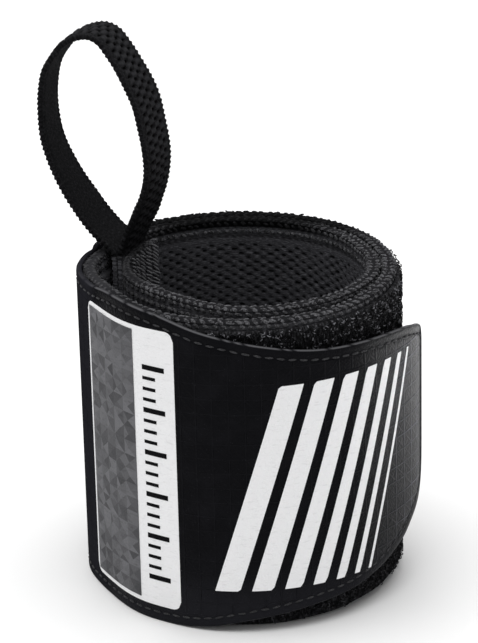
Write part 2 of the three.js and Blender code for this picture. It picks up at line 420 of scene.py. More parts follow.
def strip(name, columns, section):
    """A closed flat strip: one ring of points, given by section, at each of the columns along X."""
    rings = [section(x) for x in columns]
    count = len(rings[0])
    deselect()
    bpy.ops.mesh.primitive_grid_add(x_subdivisions=len(columns) - 1, y_subdivisions=count, size=1)
    piece = new_piece(name)
    for vertex in piece.data.vertices:
        column = round((vertex.co.x + 0.5) * (len(columns) - 1))
        row = round((vertex.co.y + 0.5) * count) % count
        vertex.co = (columns[column], *rings[column][row])
    with editing(piece):
        bpy.ops.mesh.remove_doubles(threshold=MERGE)
        bpy.ops.mesh.fill_holes(sides=0)
        bpy.ops.mesh.normals_make_consistent(inside=False)
    return piece


def copies(name, unit, places):
    """One mesh of a unit's copies, one at each place, in place of the unit."""
    points = [vertex.co.copy() for vertex in unit.data.vertices]
    faces = [tuple(face.vertices) for face in unit.data.polygons]
    firsts = range(0, len(places) * len(points), len(points))
    all_points = [place @ point for place in places for point in points]
    all_faces = [tuple(first + corner for corner in face) for first in firsts for face in faces]
    mesh = bpy.data.meshes.new(name)
    mesh.from_pydata(all_points, [], all_faces)
    bpy.data.objects.remove(unit)
    return placed(name, mesh)


def joined(name, pieces):
    """Several pieces as one."""
    activate(pieces[0])
    for piece in pieces[1:]:
        piece.select_set(True)
    bpy.ops.object.join()
    return new_piece(name)


def grain(length_along, width, height, segments=6, rings=4):
    """A low rounded grain of yarn along X, in millimetres."""
    deselect()
    bpy.ops.mesh.primitive_uv_sphere_add(
        segments=segments, ring_count=rings, radius=0.5, rotation=(0, math.pi / 2, 0),
    )
    piece = new_piece("grain")
    bpy.ops.object.transform_apply(location=False, rotation=True, scale=False)
    piece.data.transform(Matrix.Diagonal((length_along * MM, width * MM, height * MM, 1)))
    return piece


def paint(piece, names, values):
    """Keeps named numbers, given by values(x, y, z), at the points of a flat strip for its materials."""
    for name in names:
        piece.data.attributes.new(name, "FLOAT", "POINT")
    layers = [piece.data.attributes[name].data for name in names]
    for vertex in piece.data.vertices:
        for layer, value in zip(layers, values(*vertex.co)):
            layer[vertex.index].value = value


def keep_flat_map(piece):
    """Keeps the flat strip's own X and Z, in metres, as a UV map for its materials."""
    layer = piece.data.uv_layers.new(name="Flat")
    spots = [(vertex.co.x, vertex.co.z) for vertex in piece.data.vertices]
    values = [part for loop in piece.data.loops for part in spots[loop.vertex_index]]
    layer.data.foreach_set("uv", values)


def wind(piece, line):
    """Winds a flat strip round the coil, with its face at y = 0 on the line."""
    keep_flat_map(piece)
    curve = bpy.data.curves.new("line", "CURVE")
    curve.dimensions = "3D"
    spline = curve.splines.new("POLY")
    spline.points.add(len(line.points) - 1)
    for spot, point in zip(spline.points, line.points):
        spot.co = (*point, 1)
    path = placed("line", curve)
    activate(piece)
    modifier = piece.modifiers.new("Wind", "CURVE")
    modifier.object = path
    modifier.deform_axis = "POS_X"
    bpy.ops.object.modifier_apply(modifier=modifier.name)
    bpy.data.objects.remove(path)
    bpy.data.curves.remove(curve)


def dress(piece, finish, slot, *nodes):
    """Gives a piece its finish, its body and the CAD nodes that it stands for. The slot is not used."""
    activate(piece)
    bpy.ops.object.shade_smooth_by_angle(angle=math.radians(SMOOTH_UNDER))
    piece.data.materials.clear()
    piece.data.materials.append(finish.material)
    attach(piece, "root")
    if nodes:
        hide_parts(*nodes)


def lay(piece, line, finish, slot, *nodes):
    """Winds a flat piece round the coil and dresses it."""
    wind(piece, line)
    dress(piece, finish, slot, *nodes)


# Materials


def scaled(base, light):
    """A colour with its light scaled."""
    return tuple(part * light for part in base)


class Finish:
    """A node material with one Principled shader, built up by short calls.

    A scale of two numbers is for the piece's flat map, and a scale of one for its own place.
    """

    def __init__(self, name, base, roughness, sheen=0.0):
        self.material = bpy.data.materials.new(name)
        self.material.use_nodes = True
        self.material.diffuse_color = (*base, 1)
        self.nodes = self.material.node_tree.nodes
        self.links = self.material.node_tree.links
        self.shader = self.nodes["Principled BSDF"]
        self.base = tuple(base)
        self.normal = None
        for socket, value in (
            ("Base Color", (*base, 1)), ("Roughness", roughness), ("Sheen Weight", sheen),
            ("Sheen Roughness", 0.4), ("Specular IOR Level", 0.03),
        ):
            self.shader.inputs[socket].default_value = value

    def node(self, kind, **values):
        """A node with the given sockets and settings."""
        made = self.nodes.new(f"ShaderNode{kind}")
        for name, value in values.items():
            if name in made.inputs:
                made.inputs[name].default_value = value
            else:
                setattr(made, name, value)
        return made

    def fed(self, made, vector, result):
        """A node's result, once its vector is linked."""
        self.links.new(vector, made.inputs["Vector"])
        return made.outputs[result]

    def coordinates(self, *scale):
        """The flat map or the piece's own place, scaled."""
        flat = len(scale) == 2
        source = self.node("UVMap", uv_map="Flat") if flat else self.node("TexCoord")
        made = self.node("Mapping", Scale=(*scale, 1) if flat else scale * 3)
        return self.fed(made, source.outputs["UV" if flat else "Object"], "Vector")

    def split(self, axes, *scale):
        """Some of the axes of the scaled coordinates."""
        made = self.node("SeparateXYZ")
        self.links.new(self.coordinates(*scale), made.inputs["Vector"])
        return [made.outputs[axis] for axis in axes]

    def attribute(self, name):
        """A number painted on the piece."""
        return self.node("Attribute", attribute_name=name).outputs["Fac"]

    def noise(self, *scale, detail=3.0):
        """Noise whose features are about one unit of the scaled coordinates across."""
        made = self.node("TexNoise", Scale=1.0, Detail=detail, Roughness=0.6)
        return self.fed(made, self.coordinates(*scale), "Fac")

    def math(self, operation, first, second=0.5, third=0.0):
        """One sum of sockets or numbers."""
        made = self.node("Math", operation=operation)
        for socket, value in zip(made.inputs, (first, second, third)):
            if isinstance(value, (int, float)):
                socket.default_value = value
            else:
                self.links.new(value, socket)
        return made.outputs[0]

    def times(self, first, second):
        """A product of sockets or numbers."""
        return self.math("MULTIPLY", first, second)

    def ramp(self, source, low, high, start=0.0, end=1.0):
        """Maps a socket from low..high to start..end, smoothly."""
        made = self.node("MapRange", interpolation_type="SMOOTHSTEP")
        for name, value in (("From Min", low), ("From Max", high), ("To Min", start), ("To Max", end)):
            made.inputs[name].default_value = value
        self.links.new(source, made.inputs["Value"])
        return made.outputs["Result"]

    def tint(self, share, towards):
        """Mixes in another colour, or the base with its light scaled, by a share."""
        if isinstance(towards, (int, float)):
            towards = scaled(self.base, towards)
        made = self.node("Mix", data_type="RGBA")
        self.links.new(share, made.inputs["Factor"])
        held = self.shader.inputs["Base Color"]
        if held.is_linked:
            self.links.new(held.links[0].from_socket, made.inputs["A"])
        else:
            made.inputs["A"].default_value = (*self.base, 1)
        made.inputs["B"].default_value = (*towards, 1)
        self.links.new(made.outputs["Result"], held)

    def shade(self, towards, source, low, high, start=0.0, end=1.0):
        """Tints by a socket that is mapped from low..high to start..end."""
        self.tint(self.ramp(source, low, high, start, end), towards)

    def bump(self, height, distance):
        """Adds a bump, distance deep in metres, over those before it."""
        made = self.node("Bump", Strength=1.0, Distance=distance)
        self.links.new(height, made.inputs["Height"])
        if self.normal:
            self.links.new(self.normal, made.inputs["Normal"])
        self.normal = made.outputs["Normal"]
        self.links.new(self.normal, self.shader.inputs["Normal"])


def between_angles(finish, start, end, fade=25, most=1):
    """A share along the winding from start to end, falling to none within some degrees past either."""
    along, = finish.split("X", 1, 1)
    places = [BAND_LINE.length_at(angle) for angle in (start - fade, start, end, end + fade)]
    return finish.times(
        finish.ramp(along, *places[:2], 0, most), finish.ramp(along, *places[2:], 1, 0),
    )


def paint_far_shade(finish, share):
    """Paints shade, nearly black, on the rims' far side and on the outer turn's far side."""
    away, up = finish.split("YZ", 1)
    rim = finish.times(finish.ramp(away, 18 * MM, 30 * MM), finish.ramp(up, 73.6 * MM, 74.2 * MM))
    back = finish.math("MAXIMUM", rim, between_angles(finish, 765, 835))
    # painted shade: mixes the far parts towards a twentieth of the base colour
    finish.tint(finish.times(back, share), 0.05)


def pore_dashes(finish):
    """One at the middle of each pore of the knit, falling to nothing round it, a little uneven."""
    across, height = finish.split("XY", 1 / sizes().knit_pitch, 1 / sizes().knit_row)
    row = finish.math("ROUND", height)
    up = finish.math("SUBTRACT", height, row)
    shifted = finish.math("MULTIPLY_ADD", finish.math("FLOORED_MODULO", row, 2), 0.5, across)
    shifted = finish.math("ADD", shifted, 0.35)
    shifted = finish.math("MULTIPLY_ADD", finish.noise(700, 700), 0.3, shifted)
    along = finish.math("SUBTRACT", finish.math("FRACT", shifted), 0.5)
    squares = [
        finish.math("POWER", finish.times(finish.math("ABSOLUTE", part), narrowness), 2)
        for part, narrowness in ((along, 5.5), (up, 4))
    ]
    return finish.ramp(finish.math("ADD", *squares), 0.3, 1.6, 0.9, 0)


def knit_finish():
    """Matt elastic yarn: fine plies along the rows, painted shade in its pores and along its rims,
    dashes of painted shade in the inner face's pores, painted light on the outer turn from 510 to 560
    degrees, and painted shade on its far side.
    """
    finish = Finish("elastic_knit", colours().elastic, 0.92)
    plies = finish.noise(900, 3600)
    finish.shade(2.3, plies, 0.42, 0.72)
    # painted light: lighter from 510 to 560 degrees on the outer turn, where it lies in the shaded gap
    # between the turns
    finish.tint(between_angles(finish, 510, 560, 15, 0.7), 6)
    # painted shade in the pores and along the rims
    finish.shade(0.12, finish.attribute("PaintedShade"), 0.1, 0.95, 0, 0.92)
    patches = finish.ramp(finish.noise(180, 420), 0.38, 0.6, 0.35, 1)
    patches = finish.times(patches, finish.attribute("Inner"))
    # painted shade: dark dashes in the inner face's pores, in patches
    finish.tint(finish.times(pore_dashes(finish), patches), 0.1)
    # painted shade on the far side
    paint_far_shade(finish, 0.97)
    finish.bump(plies, 0.25 * MM)
    return finish


def chain_finish():
    """Paler twisted yarn on the rims, blotched from light to dark, with painted shade on both turns
    beside the loop's root and on the far side.
    """
    finish = Finish("rim_chain_yarn", colours().chain, 0.9)
    finish.shade(0.22, finish.noise(800), 0.4, 0.62, 0.9, 0)
    plies = finish.noise(2600)
    finish.shade(2, plies, 0.5, 0.68, 0, 0.8)
    # painted shade on the far side
    paint_far_shade(finish, 0.9)
    # painted shade on both turns' rims beside the loop's root, from 160 to 200 and from 520 to 560
    # degrees
    finish.tint(between_angles(finish, 160, 200, 20, 0.8), 0.25)
    finish.tint(between_angles(finish, 520, 560, 25, 0.5), 0.3)
    finish.bump(plies, 0.2 * MM)
    return finish


def pile_finish():
    """Dull black loops with painted glints on their tips here and there, fewer of them near the floor.
    """
    finish = Finish("loop_pile", colours().pile, 0.8, sheen=0.02)
    specks = finish.noise(800)
    finish.shade(0.2, specks, 0.36, 0.5, 1, 0)
    # painted highlight: pale glints on the loop tips, fading towards the floor
    lit = finish.ramp(*finish.split("Z", 1), 20 * MM, 60 * MM, 0.4, 1)
    finish.tint(finish.times(finish.ramp(specks, 0.53, 0.6), lit), 15)
    finish.bump(specks, 0.1 * MM)
    return finish


def backing_finish():
    """The pile's woven backing, ribbed across."""
    finish = Finish("pile_backing", scaled(colours().pile, 0.8), 0.85)
    ribs = finish.noise(2200, 700)
    finish.shade(5, ribs, 0.45, 0.65)
    finish.bump(ribs, 0.15 * MM)
    return finish


def embossing(finish):
    """Embossed squares with faint diagonals, in raised lines that carry a faint painted highlight,
    stronger where the face shines.
    """
    pitch = sizes().facet_pitch
    across, up = finish.split("XY", 1 / pitch, 1 / pitch)

    def lines(parts, width, most):
        nearest = finish.math("MINIMUM", *[finish.math("PINGPONG", part, 0.5) for part in parts])
        return finish.ramp(nearest, 0.02, width, most, 0)

    slants = [finish.math(way, across, up) for way in ("ADD", "SUBTRACT")]
    raised = finish.math("MAXIMUM", lines((across, up), 0.075, 1), lines(slants, 0.09, 0.2))
    raised = finish.times(raised, finish.attribute("Inside"))
    raised = finish.times(raised, finish.ramp(finish.noise(110, 110), 0.4, 0.6, 0.35, 1))
    facing = finish.node("LayerWeight", Blend=0.5).outputs["Facing"]
    shine = finish.times(finish.ramp(facing, 0.3, 0.75), finish.attribute("Gloss"))
    # painted highlight on the raised lines, from the facing and the gloss
    finish.tint(finish.times(raised, finish.math("MAXIMUM", shine, 0.03)), 20)
    finish.bump(raised, 0.3 * MM)


def leather_bump(finish, depth=0.05 * MM):
    """The fine creases of coated cloth."""
    cells = finish.node("TexVoronoi", feature="DISTANCE_TO_EDGE", Scale=1.0)
    edges = finish.fed(cells, finish.coordinates(1100, 1100), "Distance")
    finish.bump(finish.ramp(edges, 0, 0.22), depth)
    finish.bump(finish.noise(260, 420, detail=4), depth * 1.6)


def tab_finish():
    """Black coated cloth, embossed with squares and finely creased, with a painted highlight along its
    edges, painted light near its lower edge and a painted reflection where it has next to no gloss.
    """
    finish = Finish("tab_face", colours().tab, 0.46)
    finish.shade(1.9, finish.noise(150, 150), 0.4, 0.75, 0, 0.5)
    embossing(finish)
    # painted light: lighter along the lower edge, fading out 18 mm above it
    finish.shade(3, *finish.split("Y", 1, 1), 4 * MM, 18 * MM, 0.9, 0)
    # painted highlight along the edge
    finish.tint(finish.attribute("EdgeHighlight"), scaled(colours().grey, 1.5))
    leather_bump(finish)
    gloss = finish.attribute("Gloss")
    # painted reflection: lighter where the gloss is next to nil, in place of the reflection that is
    # missing there
    finish.shade(4, gloss, 0, 0.1, 0.8, 0)
    finish.links.new(finish.ramp(gloss, 0, 1, 0, 0.105), finish.shader.inputs["Specular IOR Level"])
    return finish


def white_finish():
    """White film over the creased cloth."""
    finish = Finish("white_print", colours().white, 0.5)
    finish.shade(0.72, finish.noise(420, 1500, detail=4), 0.56, 0.68, 0, 0.35)
    leather_bump(finish)
    return finish


def grey_finish():
    """Grey film printed facet by facet."""
    finish = Finish("grey_print", colours().grey, 0.5)
    finish.tint(finish.attribute("Shade"), 2.3)
    finish.shade(0.6, finish.noise(500, 1400), 0.5, 0.75, 0, 0.4)
    leather_bump(finish, 0.04 * MM)
    return finish


def tick_finish():
    """Black print on the white film."""
    finish = Finish("black_print", scaled(colours().tab, 0.8), 0.5)
    leather_bump(finish)
    return finish


def thread_finish(name, light=1.0):
    """Sewing thread, with its twist."""
    finish = Finish(name, scaled(colours().thread, light), 0.6, sheen=0.1)
    twist = finish.noise(3200)
    finish.shade(2.4, twist, 0.4, 0.7)
    finish.bump(twist, 0.12 * MM)
    return finish


def webbing_finish():
    """Dense woven yarn: a painted highlight on its knots, painted shade in its pores and along its
    edges, and the band's yarn over its sewn ends, lighter than the band as painted light.
    """
    finish = Finish("webbing", colours().webbing, 0.9)
    plies = finish.noise(1500, 3200)
    finish.shade(3.6, plies, 0.45, 0.7, 0, 0.8)
    # painted highlight on the knots
    finish.shade(3, finish.attribute("PaintedHighlight"), 0.3, 1, 0, 0.7)
    # painted shade in the pores and along the edges
    finish.shade(0.1, finish.attribute("PaintedShade"), 0, 0.8, 0, 0.95)
    # the band's yarn over the sewn ends: partly its real colour, and made three times as light as the
    # band's as painted light in the shaded gap
    mottle = finish.times(finish.attribute("Sewn"), finish.ramp(plies, 0.4, 0.6, 0.3, 1))
    finish.tint(mottle, scaled(colours().elastic, 3))
    finish.bump(plies, 0.2 * MM)
    return finish


def hook_finish():
    """Semi-gloss black plastic."""
    finish = Finish("hook_strip", colours().hook, 0.45)
    finish.shade(2, finish.noise(400), 0.4, 0.7)
    finish.bump(finish.noise(1500), 0.05 * MM)
    return finish


def floor_finish():
    """Pale matt paper."""
    finish = Finish("stage_paper", colours().floor, 0.9)
    finish.shade(0.98, finish.noise(3), 0.3, 0.7, 0, 0.5)
    return finish


# Sections and edges of the strips


def rounded_ends(low, high, thickness, rounding, corner_steps=3):
    """Offsets (y, z) that round a strip's upper and lower edges from one face over to the other."""
    turn = [math.pi / 2 * step / corner_steps for step in range(1, corner_steps + 1)]
    over = [(-rounding * (1 - math.cos(bend)), high - rounding * (1 - math.sin(bend))) for bend in turn]
    back = [(-thickness - y, z) for y, z in reversed(over)]
    under = [(y, high + low - z) for y, z in reversed(over + back)]
    return over + back, under


def knit_relief(x, z, row_height, variety):
    """How far the knit's face stands out from a smooth one, at a spot of the flat band."""
    kit = sizes()
    from_edge = min(z, BAND_WIDTH - z)
    if from_edge < kit.selvedge:
        beat = math.cos(4 * math.pi * x / kit.knit_pitch)
        dash = bell(from_edge - 4.4 * MM, 0.5 * MM) + bell(from_edge - 2 * MM, 0.4 * MM)
        return 0.15 * MM * beat - 0.6 * MM * dash * (0.5 + 0.5 * beat)
    row = round(z / row_height)
    cell = x / kit.knit_pitch + 0.5 * (row % 2)
    share = variety[(37 * row + math.floor(cell + 0.5)) % len(variety)]
    along = (cell + 0.5) % 1 - 0.5 + 0.25 * (share - 0.8)
    up = z / row_height - row
    pore = bell(along, 0.22) * bell(up, 0.3)
    yarn = math.cos(math.pi * up) ** 2 * math.sin(math.pi * along) ** 2
    return share * (0.45 * MM * yarn - kit.pore_depth * pore)


def tab_edges(angle):
    """The heights of the tab's lower and upper edges at an angle."""
    distance = math.radians(TAB_END - angle) * tab_inner(TAB_END)
    bottom = BAND_WIDTH * smooth(TAB_BOTTOM, angle) + corner_cut(distance, TAB_BOTTOM_CORNER)
    top = BAND_WIDTH * smooth(TAB_TOP, angle) - corner_cut(distance, TAB_TOP_CORNER)
    return bottom, top


def tab_rows():
    """Places along the tab, closer together over its rounded end, each with its two edges' heights."""
    columns = steps(0, TAB_LINE.length - TAB_BOTTOM_CORNER, 1.2 * MM)
    for step in range(1, 23):
        bend = math.pi / 2 * step / 22
        columns.append(TAB_LINE.length - TAB_BOTTOM_CORNER * (1 - math.sin(bend)))
    return [(x, *tab_edges(TAB_LINE.angle_at(x))) for x in columns]


def tab_outline():
    """Points (x, z) round the tab's free edges: along the top from its seam, and back below."""
    rows = tab_rows()
    upper = [Vector((x, top)) for x, bottom, top in rows]
    lower = [Vector((x, bottom)) for x, bottom, top in reversed(rows)]
    return spaced(upper + lower, 0.5 * MM)


class WRAP_OT_elastic_band(Operator):
    """Winds the knitted band: staggered pores between raised yarns, and plain ribs at its rims"""

    bl_idname = "wrist_wrap.elastic_band"
    bl_label = "Elastic Band"

    def execute(self, context):
        kit = sizes()
        draw = random.Random(5)
        variety = [draw.uniform(0.4, 1.2) for index in range(997)]
        over, under = rounded_ends(0, BAND_WIDTH, BAND_THICKNESS, 1.1 * MM)
        rows = round(2 * BAND_WIDTH / kit.knit_row) - 1
        levels = [index * kit.knit_row / 2 for index in range(2, rows)]

        def section(x):
            angle = BAND_LINE.angle_at(x)
            wall = eased(BAND_WALL, angle)
            bottom, top = band_bottom(angle), band_top(angle)
            face = [(-0.3 * MM + knit_relief(x, z, kit.knit_row, variety), z) for z in levels]
            back = [
                (-BAND_THICKNESS + 0.25 * MM - 0.7 * knit_relief(x, z, 2 * kit.knit_row, variety), z)
                for z in levels[::2]
            ]
            ring = face + over + back[::-1] + under[:-1]
            return [(y * wall, bottom + (top - bottom) * z / BAND_WIDTH) for y, z in ring]

        def painted_shade_and_inner(x, y, z):
            angle = BAND_LINE.angle_at(x)
            within = y > -0.5 * BAND_THICKNESS * eased(BAND_WALL, angle)
            row = kit.knit_row if within else 2 * kit.knit_row
            # painted shade: a share of shade painted into the knit's pores, more where they sink deeper
            painted_shade = clamped(-knit_relief(x, z, row, variety) / kit.pore_depth)
            # painted shade along both rims, under the chain yarns
            if not 0.8 * MM < z < band_top(angle) - 0.8 * MM:
                painted_shade = 1
            return painted_shade, within and kit.selvedge < z < BAND_WIDTH - kit.selvedge

        band = strip("band", steps(0, BAND_LINE.length, kit.knit_pitch / 4), section)
        paint(band, ("PaintedShade", "Inner"), painted_shade_and_inner)
        lay(band, BAND_LINE, knit_finish(), "elastic_knit", "elastic_band")
        chains = self.chains(kit.chain_pitch)
        return {"FINISHED"}

    def chains(self, pitch):
        """Chevrons of yarn along the rims, with slanted yarns down either face and loose fibres."""
        draw = random.Random(3)
        legs, beads, fibres = [], [], []

        def spot(along, aside, drop):
            y = (aside - 1) * BAND_THICKNESS / 2 * wall
            return Matrix.Translation((along, y, rim + way * drop * MM))

        for x in steps(pitch / 2, BAND_LINE.length - pitch, pitch):
            angle = BAND_LINE.angle_at(x)
            wall = eased(BAND_WALL, angle)
            for rim, way in ((band_top(angle), -1), (band_bottom(angle) + 0.35 * MM, 1)):
                for side in (-1, 1):
                    along = x + draw.uniform(-0.12, 0.12) * pitch
                    turn = Matrix.Rotation((side * 0.7 + draw.uniform(-0.2, 0.2)) * wall, 4, "Z")
                    size = Matrix.Diagonal((draw.uniform(0.85, 1.1), 1, draw.uniform(0.8, 1.15), 1))
                    legs.append(spot(along, side * 0.45, 0.4) @ turn @ size)
                    for drop, out in ((1.2, 0.9), (3, 0.97)):
                        tilt = Matrix.Rotation(way * side * 0.5 + draw.uniform(-0.35, 0.35), 4, "Y")
                        beads.append(spot(along + pitch / 2, side * out, drop) @ tilt @ size)
                    for index in range(2):
                        place = spot(
                            along + draw.uniform(-0.5, 0.5) * pitch, side * draw.uniform(0.2, 0.95),
                            draw.uniform(0.05, 0.5),
                        )
                        loose = Matrix.Rotation(draw.uniform(-1.2, 1.2) * wall, 4, "Z")
                        fibres.append(place @ loose)
        chains = joined("rim_chains", [
            copies("fibres", grain(1.1, 0.4, 0.5, segments=5, rings=3), fibres),
            copies("legs", grain(2.4, 1.05, 1.2), legs),
            copies("beads", grain(1.6, 0.75, 1.0), beads),
        ])
        lay(chains, BAND_LINE, chain_finish(), "elastic_knit")
        return chains


class WRAP_OT_pile_panel(Operator):
    """Winds the closure's soft side: a flat backing with curled loops between its bare edges"""

    bl_idname = "wrist_wrap.pile_panel"
    bl_label = "Pile Panel"

    def execute(self, context):
        backing = 0.75 * MM
        lip = backing + 0.2 * MM

        def edges(x):
            angle = PILE_LINE.angle_at(x)
            return band_bottom(angle) + PILE_BOTTOM, band_top(angle) - PILE_TOP

        def section(x):
            low, top = edges(x)
            over, under = rounded_ends(low, top, backing, 0.25 * MM)
            outside = [(-lip, top - 0.7 * MM), (-backing, top - 1.3 * MM), (-backing, top - 4 * MM)]
            outside += [(-backing, low + 4 * MM), (-backing, low + 1.2 * MM), (-lip, low + 0.7 * MM)]
            return [(0, low + 5 * MM), (0, top - 5 * MM)] + over + outside + under

        panel = strip("pile_backing", steps(0, PILE_LINE.length, 1.5 * MM), section)
        lay(panel, PILE_LINE, backing_finish(), "loop_pile", "pile_panel")
        loops = self.loops(backing, edges)
        return {"FINISHED"}

    def loops(self, backing, edges):
        """Curled loops at random turns, left out where the tab hides them."""
        kit = sizes()
        draw = random.Random(7)
        deselect()
        bpy.ops.mesh.primitive_torus_add(
            major_segments=6, minor_segments=3, major_radius=0.42 * MM, minor_radius=0.15 * MM,
        )
        unit = new_piece("pile_loop")
        with editing(unit):
            bpy.ops.mesh.bisect(plane_co=(0, 0, 0), plane_no=(0, 1, 0), use_fill=True, clear_outer=True)
        bared = PILE_LINE.length_at(TAB_END - 360 - 8)
        margin, spacing = kit.pile_margin, kit.pile_spacing
        places = []
        for x in steps(2 * MM, PILE_LINE.length - margin, spacing):
            low, top = edges(x)
            tab_low, tab_top = tab_edges(PILE_LINE.angle_at(x) + 360)
            for z in steps(low + margin + 0.5 * MM, top - margin, spacing):
                if x < bared and tab_low + 3 * MM < z < tab_top - 6 * MM:
                    continue
                place = Matrix.Translation((
                    x + draw.uniform(-0.5, 0.5) * spacing,
                    -backing - draw.uniform(0, 0.35) * MM,
                    z + draw.uniform(-0.5, 0.5) * spacing,
                ))
                place = place @ Matrix.Rotation(draw.uniform(0, math.tau), 4, "Y")
                places.append(place @ Matrix.Rotation(draw.uniform(-0.8, 0.8), 4, "X"))
        loops = copies("pile_loops", unit, places)
        lay(loops, PILE_LINE, pile_finish(), "loop_pile")
        return loops


class WRAP_OT_closure_tab(Operator):
    """Winds the faced tab, drawn in along its seam and rounded over at its edge"""

    bl_idname = "wrist_wrap.closure_tab"
    bl_label = "Closure Tab"

    def execute(self, context):
        inset = sizes().stitch_inset
        outline = tab_outline()
        near = kdtree.KDTree(len(outline))
        for index, spot in enumerate(outline):
            near.insert((*spot, 0), index)
        near.balance()

        def from_edge(x, z):
            return near.find((x, z, 0))[2]

        def section(x):
            bottom, top = tab_edges(TAB_LINE.angle_at(x))
            room = (top - bottom) / 2
            over, under = rounded_ends(bottom, top, TAB_THICKNESS, 0.45 * MM)
            fixed = [
                min(share * MM, room * 0.9) for share in (0.9, 1.4, 1.8, 2.15, 2.5, 2.85, 3.2, 3.7, 4.5)
            ]
            last = fixed[-1]
            rows = fixed + steps(last, 2 * room - last, (2 * room - 2 * last) / 18)[1:-1]
            rows += [2 * room - row for row in reversed(fixed)]
            outside = [
                (-TAB_THICKNESS + 0.22 * MM * bell(from_edge(x, top - row) - inset, 0.5 * MM), top - row)
                for row in rows
            ]
            return [(0, bottom + room * share) for share in (0.3, 1, 1.7)] + over + outside + under

        def edge_highlight_inside_gloss(x, y, z):
            distance = from_edge(x, z)
            from_end = TAB_LINE.length - x
            # painted highlight along the edge: most on the outer face's side, less on the inner face's,
            # least between them, fading far from the free end
            edge = 0.7 if y < -0.6 * TAB_THICKNESS else 0.35 if y > -0.2 * TAB_THICKNESS else 0.12
            if distance >= 0.2 * MM or from_end <= 0.6 * MM:
                edge = 0
            edge *= eased(TAB_EDGE_HIGHLIGHT, from_end)
            return edge, clamped((distance - inset) / (0.6 * MM)), eased(TAB_GLOSS, from_end)

        rows = tab_rows()
        tab = strip("tab", [row[0] for row in rows], section)
        paint(tab, ("EdgeHighlight", "Inside", "Gloss"), edge_highlight_inside_gloss)
        lay(tab, TAB_LINE, tab_finish(), "tab_face", "closure_tab")
        area = sum((far[0] - near[0]) * (far[2] - far[1]) for near, far in zip(rows, rows[1:]))
        return {"FINISHED"}


def stitch_place(x, y, z, turn):
    """A stitch's place on a strip's face, turned within it."""
    return Matrix.Translation((x, y, z)) @ Matrix.Rotation(-turn, 4, "Y")


class WRAP_OT_tab_stitches(Operator):
    """Sews the tab: one seam round its free edges and two rows across its root"""

    bl_idname = "wrist_wrap.tab_stitches"
    bl_label = "Tab Stitches"

    def execute(self, context):
        inset, pitch = sizes().stitch_inset, sizes().stitch_pitch
        outline = tab_outline()
        seam = []
        for before, here, after in zip(outline, outline[1:], outline[2:]):
            along = (after - before).normalized()
            spot = here + Vector((along.y, -along.x)) * inset
            if spot.x > inset:
                seam.append(spot)
        rows = [seam]
        for x in (inset, TAB_SEAM - 3 * MM):
            rows.append([Vector((x, 1.5 * inset)), Vector((x, BAND_WIDTH - 1.8 * inset))])
        draw = random.Random(17)
        places = []
        for row in rows:
            spots = spaced(row, pitch)
            for here, after in zip(spots, spots[1:]):
                along = after - here
                middle = (here + after) / 2
                turn = math.atan2(along.y, along.x) + draw.uniform(-0.12, 0.12)
                places.append(stitch_place(middle.x, -TAB_THICKNESS + 0.1 * MM, middle.y, turn))
        stitch = grain(pitch / MM * 0.72, 0.4, 0.55, segments=8, rings=6)
        stitches = copies("tab_stitches", stitch, places)
        lay(stitches, TAB_LINE, thread_finish("tab_thread"), "tab_face")
        return {"FINISHED"}


def film(name, start, end, edges, proud, spacing=1.5 * MM):
    """A thin printed film on the tab between two lengths, from edges(x)[0] up to edges(x)[1]."""

    def section(x):
        bottom, top = edges(x)
        top = max(top, bottom + 0.04 * MM)
        levels = steps(bottom, top, max((top - bottom) / 6, MERGE * 4))
        under = [(-TAB_THICKNESS + 0.1 * MM, z) for z in levels]
        return under + [(-TAB_THICKNESS - proud, z) for z in reversed(levels)]

    return strip(name, steps(start, end, spacing), section)


